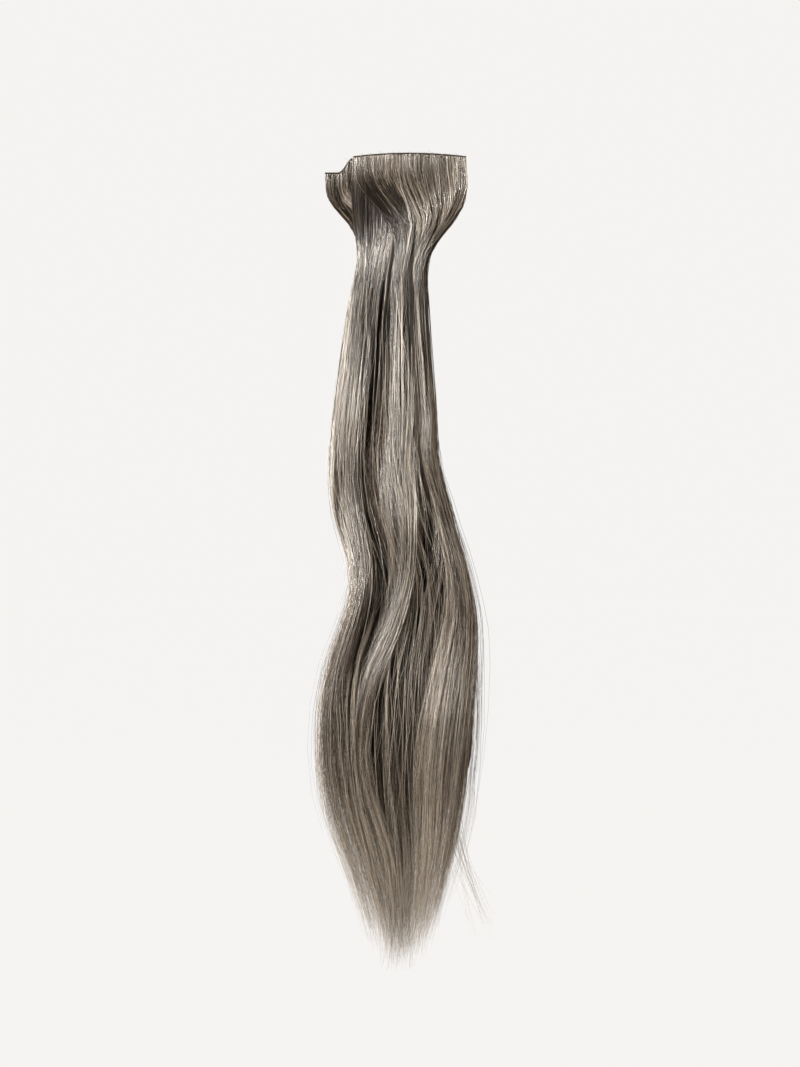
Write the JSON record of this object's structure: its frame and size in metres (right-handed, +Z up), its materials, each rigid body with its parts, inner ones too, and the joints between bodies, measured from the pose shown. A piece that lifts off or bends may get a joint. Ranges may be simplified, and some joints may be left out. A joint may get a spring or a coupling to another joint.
{
  "type": "hair extension",
  "caption": "Long wavy ash-grey hair hanging from stacked sewn weft bands, gathered in below the seam and falling in loose locks to tapered tips.",
  "frame": {"origin": "on the top edge of the front weft band, on the plumb line through the tips", "axes": "+Z up, the hair hangs along -Z, +X to the right seen from the front, +Y to the back"},
  "size_m": [0.0994, 0.0338, 0.503],
  "materials": {
    "hair": "fine ash-grey strands with a satin shine",
    "weft_thread": "matte dark sewing thread"
  },
  "bodies": {
    "root": {"front_weft_band": "weft_thread", "back_weft_band": "weft_thread", "front_hair": "hair", "back_hair": "hair"}
  },
  "joints": []
}
